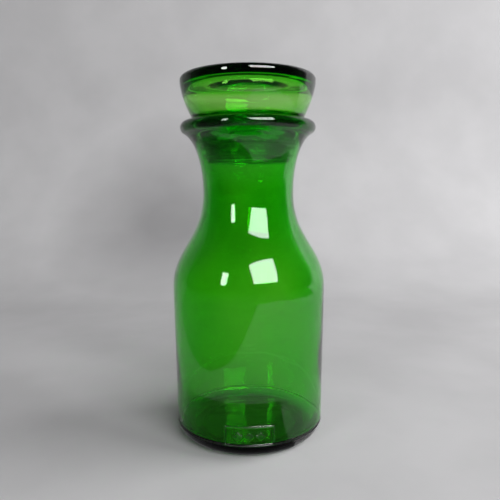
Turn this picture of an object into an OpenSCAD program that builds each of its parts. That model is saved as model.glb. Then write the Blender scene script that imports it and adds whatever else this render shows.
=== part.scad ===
// Stoppered glass storage jar: moulded bottle, hollow glass stopper, ribbed sealing ring.
// Every piece is a turned shape about Z. The origin is the centre of the standing face.

/* [Bottle] */
// Height of the bottle to the top of its lip
bottle_h = 176; // [172:1:178]
// Largest diameter, just below the shoulder
body_d = 85.4; // [82:0.2:92]
// Diameter of the wall just above the heel
base_d = 83.4; // [80:0.2:85]
// Height where the shoulder starts to turn in
shoulder_z = 85; // [78:1:88]
// Outside diameter at the waist of the neck
neck_d = 50.4; // [50:0.2:54]
// Height of the waist of the neck
neck_z = 137; // [132:1:140]
// Outside diameter over the lip bead
lip_d = 74.6; // [72:0.2:80]
// Radius of the rounded lip bead
lip_bead_r = 3.6; // [3:0.1:3.8]
// Thickness of the glass at the neck
neck_wall = 2.3; // [2:0.1:2.8]
// Thickness of the glass down the body
body_wall = 1.7; // [1.6:0.1:3]
// Radius of the rounded heel
heel_r = 10; // [7:0.5:10]
// Height of the inside floor at its edge
floor_z = 6; // [5.5:0.5:10]
// Rise of the hollow under the base
push_up = 2; // [1:0.5:3]

/* [Raised frame on the heel] */
// Width of the frame
frame_w = 25.6; // [18:0.2:32]
// Height of the frame
frame_h = 10.8; // [8:0.2:12]
// Height of the frame's lower edge
frame_z = 8.1; // [8.1:0.2:16]
// How far the frame stands out of the wall
frame_proud = 0.7; // [0.3:0.1:0.8]
// Number of lozenges inside the frame
lozenges = 3; // [1:1:5]

/* [Stopper] */
// Height of the closed jar
total_h = 200; // [198:1:208]
// Diameter over the stopper's rim
rim_d = 74.2; // [70:0.2:80]
// Radius of the rounded rim
rim_bead_r = 2.8; // [2.2:0.1:3.2]
// Depth of the dish in the closed top
dish = 4; // [1:0.5:6]
// Outside diameter of the plug where the ring sits
plug_d = 44; // [43:0.2:44.4]
// Thickness of the stopper's glass
stopper_wall = 1.7; // [1.5:0.1:2]

/* [Sealing ring] */
// Height of the sealing ring
ring_h = 10.2; // [8:0.2:10.6]
// Thickness of the ring's plain sleeve
sleeve_t = 1.4; // [1.2:0.1:1.6]
// Gap between the ribs and the neck
rib_gap = 0.2; // [0.15:0.05:0.4]
// Running clearance between the ring and the plug
ring_fit = 0.06; // [0.02:0.01:0.1]

/* [Hidden] */
$fn = 96;

// Steps in a long curve and in a small round
long_steps = 14;
round_steps = 7;

body_r = body_d / 2;
base_r = base_d / 2;
neck_r = neck_d / 2;
stand_in_r = 27;
inner_body_r = body_r - body_wall;
inner_base_r = base_r - body_wall;
inner_neck_r = neck_r - neck_wall;

// The shoulder: how far its tangents reach at the body and at the waist of the neck, and how far the
// inside lies below the outside
shoulder_pull = 21;
waist_pull = 25.5;
inner_drop = 0.4;

// The lip bead, the angles where the flare meets it outside and inside, and how far the tangents reach
lip_c = [lip_d / 2 - lip_bead_r, bottle_h - lip_bead_r];
lip_out_a = -70;
lip_in_a = 180;
flare_a = 33;
flare_pull = 5.5;
flare_in_pull = 5;
neck_pull = 18.5;
inner_neck_pull = 21;

// Inside corner between wall and floor
floor_round = 4.5;
floor_crown = 1;

// Plug and bowl of the stopper
plug_r = plug_d / 2;
plug_z = 153.2;
ring_z = plug_z + 1.4;
plug_bead_r = plug_r + 0.7;
plug_edge = 0.5;
shelf_z = ring_z + ring_h + 0.1;
bowl_r = plug_r + 2.3;
bowl_z = shelf_z + 2.2;
bowl_a = 50;
bowl_pull = 6;
rim_r = rim_d / 2;
rim_c = [rim_r - rim_bead_r, total_h - rim_bead_r];
rim_pull = 9.5;
rim_end_a = 95;

// Closed top: thickness in the middle, how far the tangents of the dish and of the bulge under it reach,
// radius of the bulge, and the flat part of the underside round it
top_z = total_h - dish;
under_z = top_z - stopper_wall - 1.5;
dish_pull = 12;
dish_flat_r = 14;
bulge_flat_r = 12;
dish_r = 21;
under_drop = 3.8;
flat_end_r = dish_r + 8.5;
corner_pull = 4;

// Hollow of the stopper: its upper corner, the foot of the bowl, and the solid shelf above the plug
hollow_top = [rim_r - stopper_wall - 0.6, total_h - 9];
hollow_foot = [rim_r - stopper_wall - 5.6, bowl_z + 12.4];
shelf_top = [plug_r + 2, bowl_z + 8.6];
inner_plug_r = plug_r - stopper_wall;

// Sealing ring: each rib is [height above the ring's bottom, thickness]
top_rib_t = 1.3;
ribs = [[0.2 * ring_h, 1.1], [0.63 * ring_h, 1.1], [ring_h - top_rib_t, top_rib_t]];
sleeve_r = plug_r + ring_fit;

// A cubic curve between a and d, without its first point
function curve(a, b, c, d, n = long_steps) = [
    for (i = [1 : n])
        let (t = i / n, s = 1 - t)
            s * s * s * a + 3 * s * s * t * b + 3 * s * t * t * c + t * t * t * d
];

// An arc about centre c from angle a0 to a1, with both ends
function arc(c, r, a0, a1, n = round_steps) = [
    for (i = [0 : n])
        let (a = a0 + (a1 - a0) * i / n)
            c + r * [cos(a), sin(a)]
];

lip_out = lip_c + lip_bead_r * [cos(lip_out_a), sin(lip_out_a)];
lip_in = lip_c + lip_bead_r * [cos(lip_in_a), sin(lip_in_a)];

// Inside of the neck from the lip down to the waist
neck_inside = curve(
    lip_in,
    lip_in - [0, flare_in_pull],
    [inner_neck_r, neck_z - inner_drop + inner_neck_pull],
    [inner_neck_r, neck_z - inner_drop]
);

// The same curve as [height, radius] pairs, for finding the neck's radius at a height
neck_table = [for (i = [len(neck_inside) - 1 : -1 : 0]) [neck_inside[i].y, neck_inside[i].x]];

function neck_radius(z) = lookup(z, neck_table);

module bottle_outline() {
    underside = concat(
        [[0, push_up]],
        curve([0, push_up], [stand_in_r * 0.4, push_up], [stand_in_r * 0.8, 0.6], [stand_in_r, 0])
    );
    heel = arc([base_r - heel_r, heel_r], heel_r, -90, 0);
    side = curve(
        [base_r, heel_r],
        [base_r + 0.3, shoulder_z * 0.55],
        [body_r, shoulder_z * 0.8],
        [body_r, shoulder_z],
        8
    );
    shoulder = curve(
        [body_r, shoulder_z],
        [body_r, shoulder_z + shoulder_pull],
        [neck_r, neck_z - waist_pull],
        [neck_r, neck_z]
    );
    flare = curve(
        [neck_r, neck_z],
        [neck_r, neck_z + neck_pull],
        lip_out - flare_pull * [cos(flare_a), sin(flare_a)],
        lip_out
    );
    lip = arc(lip_c, lip_bead_r, lip_out_a, lip_in_a, 19);
    shoulder_inside = curve(
        [inner_neck_r, neck_z - inner_drop],
        [inner_neck_r, neck_z - inner_drop - waist_pull],
        [inner_body_r, shoulder_z - inner_drop + shoulder_pull],
        [inner_body_r, shoulder_z - inner_drop]
    );
    corner = arc([inner_base_r - floor_round, floor_z + floor_round], floor_round, 0, -90);
    floor_end = [inner_base_r - floor_round, floor_z];
    floor_inside = curve(
        floor_end,
        floor_end - [12, 0],
        [14, floor_z + floor_crown],
        [0, floor_z + floor_crown],
        8
    );
    polygon(concat(
        underside,
        heel,
        side,
        shoulder,
        flare,
        [for (i = [1 : len(lip) - 1]) lip[i]],
        neck_inside,
        shoulder_inside,
        corner,
        floor_inside
    ));
}

// Front view of the raised frame and its lozenges, centred on X, from its lower edge up
module frame_front() {
    rail = 0.9;
    pitch = (frame_w - 2 * rail) / (lozenges + 1);
    half = min(frame_h / 2 - 2 * rail, pitch / 2 - rail / 2);
    difference() {
        translate([-frame_w / 2, 0])
            square([frame_w, frame_h]);
        translate([rail - frame_w / 2, rail])
            square([frame_w - 2 * rail, frame_h - 2 * rail]);
    }
    for (i = [1 : lozenges])
        translate([i * pitch - frame_w / 2 + rail, frame_h / 2])
            polygon([[-half, 0], [0, -half], [half, 0], [0, half]]);
}

module raised_frame() {
    bite = 1.5;
    intersection() {
        translate([0, 0, frame_z])
            difference() {
                cylinder(r = base_r + frame_proud, h = frame_h);
                translate([0, 0, -1])
                    cylinder(r = base_r - bite, h = frame_h + 2);
            }
        translate([0, 0, frame_z])
            rotate([90, 0, 0])
                linear_extrude(base_r + 2)
                    frame_front();
    }
}

module bottle() {
    color([0.16, 0.5, 0.1, 0.45])
        union() {
            rotate_extrude()
                bottle_outline();
            raised_frame();
        }
}

module stopper_outline() {
    // The plug's mouth, its retaining bead, the seat of the ring and the shelf above it
    plug = [
        [inner_plug_r, plug_z],
        [plug_bead_r - plug_edge, plug_z],
        [plug_bead_r, plug_z + plug_edge],
        [plug_bead_r, ring_z - 0.4],
        [plug_r, ring_z - 0.1],
        [plug_r, shelf_z],
        [bowl_r - 0.6, shelf_z],
        [bowl_r, bowl_z]
    ];
    bowl = curve(
        [bowl_r, bowl_z],
        [bowl_r, bowl_z] + bowl_pull * [cos(bowl_a), sin(bowl_a)],
        [rim_r, rim_c.y - rim_pull],
        [rim_r, rim_c.y]
    );
    rim = arc(rim_c, rim_bead_r, 0, rim_end_a);
    rim_end = rim[len(rim) - 1];
    top = curve(rim_end, rim_end - [dish_pull, 1], [dish_flat_r, top_z], [0, top_z], 10);
    // Underside of the closed top: it bulges under the dish and is flat from there to the bowl
    dish_edge = [dish_r, total_h - under_drop];
    bulge = curve([0, under_z], [bulge_flat_r, under_z], dish_edge - [1.5, 2.2], dish_edge, 10);
    corner = curve(
        [flat_end_r, dish_edge.y],
        [flat_end_r + corner_pull, dish_edge.y],
        hollow_top + [0.3, 3.5],
        hollow_top,
        8
    );
    // Down the bowl, in over the solid shelf, and down the plug
    wall_inside = curve(hollow_top, hollow_top - [0.3, 4.2], hollow_foot + [2.1, 3.4], hollow_foot);
    shelf = curve(hollow_foot, hollow_foot - [1.4, 2.3], shelf_top + [2.3, 1], shelf_top, 8);
    bore = curve(shelf_top, shelf_top - [2.4, 1.1], [inner_plug_r, bowl_z + 6], [inner_plug_r, bowl_z + 2.4], 8);
    polygon(concat(
        plug,
        bowl,
        [for (i = [1 : len(rim) - 1]) rim[i]],
        top,
        [[0, under_z]],
        bulge,
        [[flat_end_r, dish_edge.y]],
        corner,
        wall_inside,
        shelf,
        bore
    ));
}

module stopper() {
    color([0.3, 0.62, 0.18, 0.45])
        rotate_extrude()
            stopper_outline();
}

module sealing_ring_outline() {
    // Plain sleeve, with each rib reaching out to the neck
    translate([sleeve_r, ring_z])
        square([sleeve_t, ring_h]);
    for (rib = ribs) {
        low = ring_z + rib[0];
        reach = neck_radius(low) - rib_gap;
        polygon([
            [sleeve_r + 0.5, low - 0.5],
            [sleeve_r + sleeve_t, low - 0.5],
            [reach - 0.2, low],
            [reach, low + 0.3],
            [reach, low + rib[1] - 0.2],
            [reach - 0.3, low + rib[1]],
            [sleeve_r + 0.5, low + rib[1]]
        ]);
    }
}

module sealing_ring() {
    color([0.8, 0.86, 0.8, 0.7])
        rotate_extrude()
            sealing_ring_outline();
}

bottle();
stopper();
sealing_ring();
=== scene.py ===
import math

import bmesh
import bpy
import numpy as np
from mathutils import Euler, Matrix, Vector


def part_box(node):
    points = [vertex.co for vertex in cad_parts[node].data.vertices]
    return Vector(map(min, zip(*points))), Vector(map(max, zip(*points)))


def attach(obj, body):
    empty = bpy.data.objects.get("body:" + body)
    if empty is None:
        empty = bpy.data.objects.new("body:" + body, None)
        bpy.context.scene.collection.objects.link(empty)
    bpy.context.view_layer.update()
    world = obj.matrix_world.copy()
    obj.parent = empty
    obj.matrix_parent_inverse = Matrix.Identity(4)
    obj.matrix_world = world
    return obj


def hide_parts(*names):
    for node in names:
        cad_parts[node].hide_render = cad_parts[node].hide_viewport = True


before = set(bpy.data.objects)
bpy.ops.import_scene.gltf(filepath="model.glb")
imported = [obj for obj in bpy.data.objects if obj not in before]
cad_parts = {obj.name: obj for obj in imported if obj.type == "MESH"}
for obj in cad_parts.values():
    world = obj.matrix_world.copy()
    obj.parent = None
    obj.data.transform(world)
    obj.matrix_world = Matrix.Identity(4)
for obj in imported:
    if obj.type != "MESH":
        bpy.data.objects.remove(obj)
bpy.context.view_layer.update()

MM = 0.001

# ------------------------------------------------------------ sizes in mm, from the CAD nodes


def top_and_radius(node):
    """Height of a CAD node's top and its largest radius across X, in mm."""
    low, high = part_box(node)
    return high.z / MM, (high.x - low.x) / 2 / MM


bottle_h, body_r = top_and_radius("bottle")
total_h, rim_r = top_and_radius("stopper")
plug_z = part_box("stopper")[0].z / MM
ring_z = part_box("sealing_ring")[0].z / MM
ring_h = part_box("sealing_ring")[1].z / MM - ring_z

# ------------------------------------------------------------ other sizes in mm, angles in degrees

# Bottle
base_r = body_r - 1.0
neck_r = 25.2
lip_r = 37.3
lip_bead_r = 3.6
shoulder_z = 85.0
neck_z = 137.0
neck_wall = 2.3
body_wall = 1.7
heel_r = 10.0
floor_z = 6.0
floor_round = 4.5
floor_crown = 1.0
push_up = 2.0
stand_in_r = 27.0

# Its curves: how far their tangents reach, the angles where the flare meets the lip outside and
# inside, the heights that set the taper inside the wall, and how far the inside lies below the
# outside at the shoulder and the waist
shoulder_pull = 21.0
waist_pull = 25.5
inner_drop = 0.4
neck_pull = 18.5
flare_a, flare_pull, flare_in_pull = 33, 5.5, 5
inner_neck_pull = 21
floor_pull, floor_flat_r = 12, 14
inner_wall_z = 60, 40
lip_out_a, lip_in_a = -70, 180

# Raised frame on the heel, and the width over which its edges are rounded
frame_w = 25.6
frame_h = 10.8
frame_z = 8.1
frame_proud = 0.7
frame_rail = 0.9
frame_edge = 0.25
lozenges = 3

# What the CAD leaves out: the mould seams down the sides, the line round the heel, and the
# unevenness inside, which fades out above the waist of the neck
seam_proud, seam_half = 0.08, 0.45
ridge_proud, ridge_z, ridge_half = 0.15, 8.3, 0.7
wall_uneven, floor_uneven = 0.22, 0.12
uneven_fade = 12
flat_floor_r, floor_calm_r = 33, 10

# Stopper: the plug, the bowl and the rim
plug_r = 22.0
plug_bead_r = plug_r + 0.7
plug_edge = 0.5
stopper_wall = 1.7
bowl_a, bowl_pull = 50, 6
rim_bead_r = 2.8
rim_end_a = 95
rim_pull = 9.5

# Its closed top: the dish, the bulge under it, and the flat part of the underside round it
dish = 4.0
dish_r = 21.0
dish_pull = 12
dish_flat_r = 14
bulge_flat_r = 12
under_drop = 3.8
flat_w = 8.5
corner_pull = 4

# Sealing ring: each rib is its height above the ring's bottom and its thickness
sleeve_t = 1.4
rib_gap = 0.2
ring_fit = 0.06
top_rib_t = 1.3
ribs = [(0.2 * ring_h, 1.1), (0.63 * ring_h, 1.1), (ring_h - top_rib_t, top_rib_t)]

# ------------------------------------------------------------ outlines: (radius, height) points


def polar(angle, r):
    a = math.radians(angle)
    return np.array([r * math.cos(a), r * math.sin(a)])


def curve(a, b, c, d, n):
    """A cubic curve from a to d in n steps, without its first point."""
    a, b, c, d = (np.array(p, float) for p in (a, b, c, d))
    t = np.arange(1, n + 1)[:, None] / n
    s = 1 - t
    return s**3 * a + 3 * s * s * t * b + 3 * s * t * t * c + t**3 * d


def arc(centre, r, a0, a1, n):
    """An arc about centre from angle a0 to a1 in n steps, without its first point."""
    turn = a1 - a0
    return np.array([np.array(centre) + polar(a0 + turn * i / n, r) for i in range(1, n + 1)])


lip_c = np.array([lip_r - lip_bead_r, bottle_h - lip_bead_r])
lip_out = lip_c + polar(lip_out_a, lip_bead_r)
lip_in = lip_c + polar(lip_in_a, lip_bead_r)
inner_neck = np.array([neck_r - neck_wall, neck_z - inner_drop])
neck_inside = curve(lip_in, lip_in - [0, flare_in_pull], inner_neck + [0, inner_neck_pull],
                    inner_neck, 40)


def lower_wall():
    """Points up the heel and the wall, as far as the shoulder.

    From the middle of the heel to the top of the raised frame they are close together, to carry
    its detail. Above it they are far apart.
    """
    base_c = [base_r - heel_r, heel_r]
    fine_from_a = -30
    fine_rows, wide_step = 65, 13
    heel = arc(base_c, heel_r, -90, fine_from_a, 10)
    side = curve([base_r, heel_r], [base_r + 0.3, shoulder_z * 0.55], [body_r, shoulder_z * 0.8],
                 [body_r, shoulder_z], 200)
    whole = np.vstack([heel[-1:], arc(base_c, heel_r, fine_from_a, 0, 60), side])
    frame_top = frame_z + frame_h + 0.6
    fine = np.linspace(heel[-1][1], frame_top, fine_rows + 1)[1:]
    band = np.stack([np.interp(fine, whole[:, 1], whole[:, 0]), fine], axis=1)
    upper = side[side[:, 1] > frame_top + 2][::wide_step]
    return [heel, band, upper, [[body_r, shoulder_z]]]


def bottle_outline():
    """Outside points, from the middle of the base to the lip, and inside points, back down."""
    heel_foot_r = base_r - heel_r
    outside = [
        [[0, push_up]],
        curve([0, push_up], [stand_in_r * 0.4, push_up], [stand_in_r * 0.8, 0.6],
              [stand_in_r, 0], 14),
        [[stand_in_r + (heel_foot_r - stand_in_r) * i / 4, 0] for i in range(1, 5)],
        *lower_wall(),
        curve([body_r, shoulder_z], [body_r, shoulder_z + shoulder_pull],
              [neck_r, neck_z - waist_pull], [neck_r, neck_z], 24),
        curve([neck_r, neck_z], [neck_r, neck_z + neck_pull],
              lip_out - polar(flare_a, flare_pull), lip_out, 22),
        arc(lip_c, lip_bead_r, lip_out_a, lip_in_a, 26),
    ]
    inner_body = np.array([body_r - body_wall, shoulder_z - inner_drop])
    inner_base_r = base_r - body_wall
    corner_c = [inner_base_r - floor_round, floor_z + floor_round]
    crown_z = floor_z + floor_crown
    inside = [
        neck_inside[1::2],
        curve(inner_neck, inner_neck - [0, waist_pull], inner_body + [0, shoulder_pull],
              inner_body, 24),
        curve(inner_body, [inner_body[0], inner_wall_z[0]], [inner_base_r, inner_wall_z[1]],
              [inner_base_r, corner_c[1]], 12),
        arc(corner_c, floor_round, 0, -90, 10),
        curve([corner_c[0], floor_z], [corner_c[0] - floor_pull, floor_z], [floor_flat_r, crown_z],
              [0, crown_z], 14),
    ]
    return np.vstack(outside), np.vstack(inside)


def stopper_outline():
    """Up the plug and the bowl, over the closed top, then down the hollow to the plug's mouth."""
    ring_seat = plug_z + 1.4
    shelf_z = ring_seat + ring_h + 0.1
    bowl = np.array([plug_r + 2.3, shelf_z + 2.2])
    rim_c = np.array([rim_r - rim_bead_r, total_h - rim_bead_r])
    rim_end = rim_c + polar(rim_end_a, rim_bead_r)
    inner = plug_r - stopper_wall
    top_z = total_h - dish
    under_z = top_z - stopper_wall - 1.5
    dish_edge = np.array([dish_r, total_h - under_drop])
    flat_end = dish_edge + [flat_w, 0]
    hollow_top = np.array([rim_r - stopper_wall - 0.6, total_h - 9])
    hollow_foot = np.array([rim_r - stopper_wall - 5.6, bowl[1] + 12.4])
    shelf_top = np.array([plug_r + 2, bowl[1] + 8.6])
    bead = plug_bead_r
    bead_c = [bead - plug_edge, plug_z + plug_edge]
    return np.vstack([
        # The plug's mouth, its retaining bead, the seat of the ring and the shelf above it
        [[inner, plug_z + 0.3], [inner + 0.1, plug_z + 0.1], [inner + 0.3, plug_z]],
        [[bead_c[0], plug_z]],
        arc(bead_c, plug_edge, -90, 0, 4),
        [[bead, ring_seat - 0.5], [bead - 0.1, ring_seat - 0.4], [plug_r + 0.1, ring_seat - 0.15]],
        [[plug_r, ring_seat], [plug_r, shelf_z - 0.3]],
        [[plug_r + 0.1, shelf_z - 0.1], [plug_r + 0.3, shelf_z]],
        [[bowl[0] - 0.9, shelf_z], [bowl[0] - 0.6, shelf_z + 0.2]],
        # Bowl, rim and dish
        [bowl],
        curve(bowl, bowl + polar(bowl_a, bowl_pull), [rim_r, rim_c[1] - rim_pull],
              [rim_r, rim_c[1]], 30),
        arc(rim_c, rim_bead_r, 0, rim_end_a, 14),
        curve(rim_end, rim_end - [dish_pull, 1], [dish_flat_r, top_z], [0, top_z], 24),
        # Underside of the closed top: the bulge under the dish and the flat round it
        [[0, under_z]],
        curve([0, under_z], [bulge_flat_r, under_z], dish_edge - [1.5, 2.2], dish_edge, 18),
        [flat_end - [corner_pull, 0], flat_end],
        curve(flat_end, flat_end + [corner_pull, 0], hollow_top + [0.3, 3.5], hollow_top, 16),
        # Down the bowl, in over the solid shelf, and into the plug
        curve(hollow_top, hollow_top - [0.3, 4.2], hollow_foot + [2.1, 3.4], hollow_foot, 18),
        curve(hollow_foot, hollow_foot - [1.4, 2.3], shelf_top + [2.3, 1], shelf_top, 12),
        curve(shelf_top, shelf_top - [2.4, 1.1], [inner, bowl[1] + 6], [inner, bowl[1] + 2.4], 12),
    ])


def neck_radius(z):
    """Inside radius of the neck at height z."""
    return float(np.interp(z, neck_inside[::-1, 1], neck_inside[::-1, 0]))


def ring_outline():
    """Up the outside of the sleeve and its ribs from the inside bottom, with rounded edges."""
    inner = plug_r + ring_fit
    outer = inner + sleeve_t
    points = [[inner + 0.1, ring_z], [outer - 0.3, ring_z], [outer - 0.1, ring_z + 0.1],
              [outer, ring_z + 0.3]]
    for low, thick in ribs:
        z = ring_z + low
        reach = neck_radius(z) - rib_gap
        points += [[outer, z - 0.7], [outer + 0.1, z - 0.5], [reach - 0.4, z - 0.05]]
        points += [[reach - 0.1, z + 0.1], [reach, z + 0.35], [reach, z + thick - 0.3]]
        points += [[reach - 0.1, z + thick - 0.1], [reach - 0.3, z + thick]]
        if z + thick < ring_z + ring_h - 0.1:
            points += [[outer + 0.2, z + thick], [outer, z + thick + 0.15]]
    points += [[inner + 0.1, ring_z + ring_h], [inner, ring_z + ring_h - 0.1],
               [inner, ring_z + 0.1]]
    return np.array(points)


# ------------------------------------------------------------ meshes


def lathe(name, outline, angles, shift=None, closed=False):
    """Turns an outline about Z. shift(i, angle, r, z) gives each point's own radius and height.

    Where closed is True, the outline's last point is joined to its first.
    """
    mesh = bmesh.new()
    rings = []
    for i, (r, z) in enumerate(outline):
        if r < 1e-6:
            rings.append([mesh.verts.new((0, 0, z * MM))])
            continue
        ring = []
        for angle in angles:
            rr, zz = shift(i, angle, r, z) if shift else (r, z)
            ring.append(mesh.verts.new((rr * math.cos(angle) * MM, rr * math.sin(angle) * MM,
                                        zz * MM)))
        rings.append(ring)
    pairs = list(zip(rings, rings[1:]))
    if closed:
        pairs.append((rings[-1], rings[0]))
    for low, high in pairs:
        if len(low) == 1 and len(high) == 1:
            continue
        for j in range(len(angles)):
            k = (j + 1) % len(angles)
            if len(low) == 1:
                mesh.faces.new((low[0], high[k], high[j]))
            elif len(high) == 1:
                mesh.faces.new((low[j], low[k], high[0]))
            else:
                mesh.faces.new((low[j], low[k], high[k], high[j]))
    bmesh.ops.recalc_face_normals(mesh, faces=mesh.faces)
    data = bpy.data.meshes.new(name)
    mesh.to_mesh(data)
    mesh.free()
    for polygon in data.polygons:
        polygon.use_smooth = True
    piece = bpy.data.objects.new(name, data)
    bpy.context.scene.collection.objects.link(piece)
    return piece


def even_angles(n):
    return [2 * math.pi * i / n for i in range(n)]


# The bottle's columns are close together across the raised frame
front = -math.pi / 2
fine_half = math.radians(19)
rest = 2 * math.pi - 2 * fine_half
fine_steps, rest_steps = 136, 216
bottle_angles = [front - fine_half + 2 * fine_half * i / fine_steps for i in range(fine_steps + 1)]
bottle_angles += [front + fine_half + rest * i / rest_steps for i in range(1, rest_steps)]

# Each wave of the unevenness: strength, lobes round the jar, twist per mm of height, and phase
glass_waves = ((1.0, 3, 0.045, 1.0), (0.6, 5, -0.08, 2.1), (0.4, 9, 0.13, 0.7))
first_phase = 1.3


def smooth_wave(angle, z):
    """A slow unevenness between about -1 and 1, as blown glass has."""
    return sum(strength * math.sin(lobes * angle + z * twist + phase * first_phase)
               for strength, lobes, twist, phase in glass_waves) / 2


def soft_step(distance, edge):
    """1 well inside, 0 well outside, rounded over edge."""
    t = min(max(0.5 + distance / edge, 0.0), 1.0)
    return t * t * (3 - 2 * t)


def frame_height(x, z):
    """How much of the frame's height the wall has at x across and z up: rails and lozenges."""
    off_middle = abs(z - frame_z - frame_h / 2)
    inside = min(frame_w / 2 - abs(x), frame_h / 2 - off_middle)
    height = soft_step(inside, frame_edge) * soft_step(frame_rail - inside, frame_edge)
    pitch = (frame_w - 2 * frame_rail) / (lozenges + 1)
    half = min(frame_h / 2 - 2 * frame_rail, pitch / 2 - frame_rail / 2)
    for i in range(1, lozenges + 1):
        centre = i * pitch - frame_w / 2 + frame_rail
        height = max(height, soft_step(half - abs(x - centre) - off_middle, frame_edge))
    return height


def ridge(z):
    """How much of its height the line round the heel has at z."""
    return math.exp(-((z - ridge_z) / ridge_half) ** 2)


def level_with_frame(z):
    """Whether z is within the height of the raised frame and its rounded edges."""
    return frame_z - 0.5 < z < frame_z + frame_h + 0.5


outside, inside = bottle_outline()
n_outside = len(outside)


def bottle_shift(i, angle, r, z):
    """The unevenness inside; outside, the seams, the line round the heel and the raised frame."""
    if i >= n_outside:
        uneven = smooth_wave(angle, z)
        if z < floor_z + 2 and r < flat_floor_r:
            return r, z + floor_uneven * uneven * min(1, r / floor_calm_r)
        fade = max(0.0, min(1.0, 1 - (z - neck_z) / uneven_fade))
        return r + wall_uneven * fade * uneven, z
    if heel_r * 0.5 < z < bottle_h - 2 * lip_bead_r:
        seam = math.exp(-(math.sin(angle) * r / seam_half) ** 2)
        r -= seam_proud * (1 - seam)
    r += ridge_proud * ridge(z)
    if level_with_frame(z) and abs(angle - front) < fine_half:
        r += frame_proud * frame_height(r * math.cos(angle), z)
    return r, z


def mark_worn(piece):
    """Notes on each point how scuffed the glass is: most on the line round the heel, and less on
    the raised frame."""
    frame_scuff = 0.5
    worn = []
    for vertex in piece.data.vertices:
        x, y, z = vertex.co / MM
        value = 0.0
        if math.hypot(x, y) > base_r - 1 and z < bottle_h / 2:
            value = ridge(z)
            if y < 0 and abs(x) < frame_w / 2 + 1 and level_with_frame(z):
                value = max(value, frame_scuff * frame_height(x, z))
        worn.append(value)
    piece.data.attributes.new("worn", "FLOAT", "POINT").data.foreach_set("value", worn)


bottle = lathe("bottle_moulded", np.vstack([outside, inside]), bottle_angles, bottle_shift)
mark_worn(bottle)
stopper = lathe("stopper_blown", stopper_outline(), even_angles(256), closed=True)
ring = lathe("sealing_ring_moulded", ring_outline(), even_angles(192), closed=True)

# ------------------------------------------------------------ materials


def node_material(name):
    material = bpy.data.materials.new(name)
    material.use_nodes = True
    tree = material.node_tree
    return material, tree, tree.nodes["Principled BSDF"]


def fill(tree, node, inputs):
    """Links each input that is given another node's output, and sets the others to plain values."""
    for name, value in inputs.items():
        if isinstance(value, bpy.types.NodeSocket):
            tree.links.new(value, node.inputs[name])
        else:
            node.inputs[name].default_value = value
    return node


def math_node(tree, kind, operation, inputs):
    """A node that computes operation, with its inputs by number or by name."""
    node = tree.nodes.new(kind)
    node.operation = operation
    return fill(tree, node, inputs)


def object_position(tree):
    return tree.nodes.new("ShaderNodeTexCoord").outputs["Object"]


def noise(tree, where, scale, detail):
    node = tree.nodes.new("ShaderNodeTexNoise")
    return fill(tree, node, {"Vector": where, "Scale": scale, "Detail": detail}).outputs["Fac"]


def remap(tree, source, span, out):
    """Takes source from the span (low, high) to the span out, and holds it at its ends."""
    node = fill(tree, tree.nodes.new("ShaderNodeMapRange"),
                {"Value": source, "From Min": span[0], "From Max": span[1],
                 "To Min": out[0], "To Max": out[1]})
    return node.outputs["Result"]


def mottle(tree, grain, dark, light, start=0.0, end=1.0):
    """A colour that goes from dark, where grain is at start, to light, where it is at end."""
    ramp = tree.nodes.new("ShaderNodeValToRGB")
    for element, position, colour in zip(ramp.color_ramp.elements, (start, end), (dark, light)):
        element.position = position
        element.color = (*colour, 1)
    return fill(tree, ramp, {"Fac": grain}).outputs["Color"]


def relief(tree, height, strength, depth):
    """A surface normal from a texture, for relief of about depth in metres."""
    node = fill(tree, tree.nodes.new("ShaderNodeBump"),
                {"Height": height, "Strength": strength, "Distance": depth})
    return node.outputs["Normal"]


def glass(name, density):
    """Clear glass whose colour comes from its thickness, with smears and scuffs in its gloss and
    a slight ripple in its surface. A piece without the attribute "worn" has no scuffs."""
    absorb = (0.46, 0.915, 0.08)
    clearest, smeared, scuffed = 0.005, 0.05, 0.65
    material, tree, shader = node_material(name)
    where = object_position(tree)
    patches = noise(tree, where, scale=38, detail=5)
    smears = remap(tree, patches, (0.45, 0.8), (clearest, smeared))
    scuffs = tree.nodes.new("ShaderNodeAttribute")
    scuffs.attribute_name = "worn"
    gloss = math_node(tree, "ShaderNodeMath", "MULTIPLY_ADD",
                      {0: scuffs.outputs["Fac"], 1: scuffed, 2: smears})
    fill(tree, shader, {
        "Base Color": (1, 1, 1, 1),
        "Transmission Weight": 1.0,
        "IOR": 1.52,
        "Roughness": gloss.outputs["Value"],
        "Normal": relief(tree, noise(tree, where, scale=45, detail=2), strength=0.12, depth=0.0004),
    })
    volume = fill(tree, tree.nodes.new("ShaderNodeVolumeAbsorption"),
                  {"Color": (*absorb, 1), "Density": density})
    fill(tree, tree.nodes["Material Output"], {"Volume": volume.outputs["Volume"]})
    return material


def seal_plastic(name):
    """Clear soft plastic, a little cloudy in patches and finely scuffed."""
    cloudy, clear = (0.3, 0.36, 0.3), (0.5, 0.56, 0.5)
    roughness = (0.1, 0.2)
    material, tree, shader = node_material(name)
    where = object_position(tree)
    fill(tree, shader, {
        "Base Color": mottle(tree, noise(tree, where, scale=60, detail=4), cloudy, clear),
        "Transmission Weight": 0.93,
        "IOR": 1.5,
        "Roughness": remap(tree, noise(tree, where, scale=90, detail=3), (0.3, 0.7), roughness),
        "Normal": relief(tree, noise(tree, where, scale=900, detail=2), strength=0.2, depth=0.0001),
    })
    return material


bottle.data.materials.append(glass("green_bottle_glass", density=1550))
stopper.data.materials.append(glass("green_stopper_glass", density=850))
ring.data.materials.append(seal_plastic("milky_seal_plastic"))

for piece, node, body, slot in (
    (bottle, "bottle", "bottle", "bottle_glass"),
    (stopper, "stopper", "stopper", "stopper_glass"),
    (ring, "sealing_ring", "ring", "seal_plastic"),
):
    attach(piece, body)
    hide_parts(node)

# ------------------------------------------------------------ floor and backdrop, in metres

wall_y, wall_h, sweep_half = 0.62, 1.6, 2.2
split_y, front_y, side_x = 0.15, -2.6, 5.0
just_below = -0.00002

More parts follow.
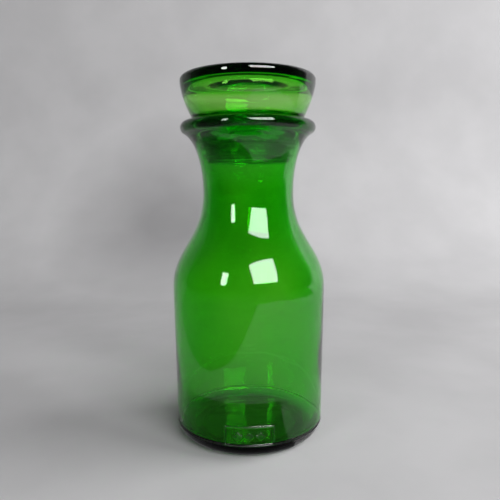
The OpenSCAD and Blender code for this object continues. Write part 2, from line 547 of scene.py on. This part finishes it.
# The glass mirrors only the part of the floor that the windows reach: the sheet by the jar. It is
# cut off by the edge of the table, by a shadow that runs from the front right to the back left,
# and by the shade in front of the base, out to shade_r and from shade_from to shade_to. The wide
# sheet below it and the wall in front are kept out of mirror images.
lit_edge = [(-0.301, split_y), (-0.026, -0.24), (0.087, -0.4), (0.3, -0.34), (0.45, -0.1),
            (0.47, split_y)]
under_r, shade_r = 0.036, 0.11
shade_from, shade_to = math.pi, math.radians(310)


def paper(name, colour):
    """Pale matt studio sweep, faintly uneven, with a painted shadow of the jar low on the wall on
    the left.
    """
    painted_shadow_at = (-0.12, 0.53, 0.09)
    painted_shadow_r, painted_shadow_fade_r, painted_shadow_tone = 0.04, 0.2, 0.58
    material, tree, shader = node_material(name)
    where = object_position(tree)
    darker = [c * 0.93 for c in colour]
    flecks = mottle(tree, noise(tree, where, scale=14, detail=6), darker, colour, 0.35, 0.65)
    # Painted shadow: the paper's colour is darkened round a point low on the wall, left of the jar,
    # where the jar's shadow falls
    away = math_node(tree, "ShaderNodeVectorMath", "DISTANCE", {0: where, 1: painted_shadow_at})
    shade = remap(tree, away.outputs["Value"], (painted_shadow_r, painted_shadow_fade_r), (painted_shadow_tone, 1.0))
    tone = math_node(tree, "ShaderNodeVectorMath", "SCALE", {0: flecks, "Scale": shade})
    fill(tree, shader, {
        "Base Color": tone.outputs["Vector"],
        "Roughness": 0.9,
        "Specular IOR Level": 0.2,
    })
    return material


pale = paper("pale_paper", (0.25, 0.243, 0.245))


def stage_mesh(name, corners, faces):
    data = bpy.data.meshes.new(name)
    data.from_pydata(corners, [], faces)
    for polygon in data.polygons:
        polygon.use_smooth = True
    obj = bpy.data.objects.new(name, data)
    bpy.context.scene.collection.objects.link(obj)
    obj.data.materials.append(pale)
    return obj


def sweep(bend=0.3, steps=24):
    """A flat floor that curves up into a wall behind the jar."""
    line = [(split_y, 0.0), (wall_y - bend, 0.0)]
    for i in range(1, steps + 1):
        a = math.radians(90 * i / steps)
        line.append((wall_y - bend + bend * math.sin(a), bend - bend * math.cos(a)))
    line.append((wall_y, wall_h))
    corners = [(x, y, z) for y, z in line for x in (-sweep_half, sweep_half)]
    faces = [(2 * i, 2 * i + 1, 2 * i + 3, 2 * i + 2) for i in range(len(line) - 1)]
    return stage_mesh("sweep", corners, faces)


def reach_to_edge(x, y):
    """Distance from the origin to the lit sheet's edge in the direction x, y."""
    reach = []
    for (ax, ay), (bx, by) in zip(lit_edge, lit_edge[1:] + lit_edge[:1]):
        across = x * (by - ay) - y * (bx - ax)
        if abs(across) < 1e-9:
            continue
        distance = (ax * (by - ay) - ay * (bx - ax)) / across
        along = (ax * y - ay * x) / across
        if distance > 0 and 0 <= along <= 1:
            reach.append(distance)
    return min(reach)


def lit_sheet(middle_r=0.001, steps=120):
    """A disc under the jar, and a flat ring of quads round it, or round the shade in front."""
    corners = []
    for i in range(steps):
        a = 2 * math.pi * i / steps
        x, y = math.cos(a), math.sin(a)
        inner = shade_r if shade_from <= a <= shade_to else under_r
        corners += [(x * r, y * r, 0) for r in (middle_r, under_r, inner, reach_to_edge(x, y))]
    faces = []
    for i in range(steps):
        k = (i + 1) % steps
        faces += [(4 * i + j, 4 * i + j + 1, 4 * k + j + 1, 4 * k + j) for j in (0, 2)]
    return stage_mesh("floor_lit", corners, faces)


def wide_quad(name, one, other):
    """A rectangle from side to side. one and other are the (y, z) of its two long edges."""
    corners = [(-side_x, *one), (-side_x, *other), (side_x, *other), (side_x, *one)]
    return stage_mesh(name, corners, [(0, 1, 2, 3)])


floor_lit = lit_sheet()
floor_wide = wide_quad("floor_wide", (split_y, just_below), (front_y, just_below))
front_wall = wide_quad("front_wall", (front_y, wall_h), (front_y, 0))
floor_wide.visible_glossy = front_wall.visible_glossy = False
sweep()

# ------------------------------------------------------------ light

light_colour = (0.97, 0.99, 1.0)
aim = Vector((0, 0, 0.12))


def window(name, azimuth, elevation, distance, width, height, power):
    """A soft rectangular light that faces the jar. Azimuth 0 is the front, positive to the right.

    Angles are in degrees, sizes in metres, and the power is in watts.
    """
    light = bpy.data.lights.new(name, "AREA")
    light.shape = "RECTANGLE"
    light.size = width
    light.size_y = height
    light.energy = power
    light.color = light_colour
    lamp = bpy.data.objects.new(name, light)
    a, e = math.radians(azimuth), math.radians(elevation)
    back = Vector((math.sin(a) * math.cos(e), -math.cos(a) * math.cos(e), math.sin(e)))
    lamp.location = aim + back * distance
    lamp.rotation_euler = back.to_track_quat("Z", "Y").to_euler()
    bpy.context.scene.collection.objects.link(lamp)
    return lamp


window("window_right", azimuth=26, elevation=32, distance=2.4, width=1.6, height=1.45, power=95)
window("window_left", azimuth=-38, elevation=21, distance=2.4, width=0.38, height=0.9, power=17)
wash = window("backdrop_wash", azimuth=86, elevation=28, distance=1.5, width=1.2, height=1.0,
              power=52)
# The wash is for the backdrop, so it is kept from showing in the glass or through it
wash.visible_glossy = wash.visible_transmission = False

world = bpy.data.worlds.new("studio")
bpy.context.scene.world = world
world.use_nodes = True


def room_light(tree):
    """A dim room: nearly dark in front of the jar, a little lighter behind it and low down."""
    front_level, back_level = 0.01, 0.11
    # Height, from 0 straight down to 1 straight up, and the level there
    low_levels = ((0.0, 0.03), (0.25, 0.03), (0.36, 0.12), (0.475, 0.0))
    direction = tree.nodes.new("ShaderNodeTexCoord").outputs["Generated"]
    split = fill(tree, tree.nodes.new("ShaderNodeSeparateXYZ"), {"Vector": direction})
    low = tree.nodes.new("ShaderNodeValToRGB")
    elements = low.color_ramp.elements
    elements[1].position = low_levels[-1][0]
    for position, _ in low_levels[1:-1]:
        elements.new(position)
    for element, (_, level) in zip(elements, low_levels):
        element.color = (level, level, level, 1)
    fill(tree, low, {"Fac": remap(tree, split.outputs["Z"], (-1, 1), (0, 1))})
    behind = remap(tree, split.outputs["Y"], (-0.3, 0.6), (front_level, back_level))
    total = math_node(tree, "ShaderNodeMath", "ADD", {0: behind, 1: low.outputs["Color"]})
    fill(tree, tree.nodes["Background"],
         {"Strength": total.outputs["Value"], "Color": (0.95, 0.97, 1.0, 1)})


room_light(world.node_tree)

# ------------------------------------------------------------ camera and render look

look_down, roll = 6.72, 0.3
camera = bpy.data.objects.new("camera", bpy.data.cameras.new("camera"))
camera.data.sensor_width = 36
camera.data.lens = 38.3
camera.data.clip_start = 0.01
camera.location = (0.001, -0.300, 0.140)
camera.rotation_euler = Euler((math.radians(90 - look_down), math.radians(roll), 0), "XYZ")
bpy.context.scene.collection.objects.link(camera)
bpy.context.scene.camera = camera

scene = bpy.context.scene
scene.view_settings.view_transform = "Standard"
scene.cycles.max_bounces = 32
scene.cycles.transmission_bounces = 32
scene.cycles.glossy_bounces = 16
scene.cycles.transparent_max_bounces = 32
scene.cycles.use_denoising = True
scene.cycles.blur_glossy = 0.5
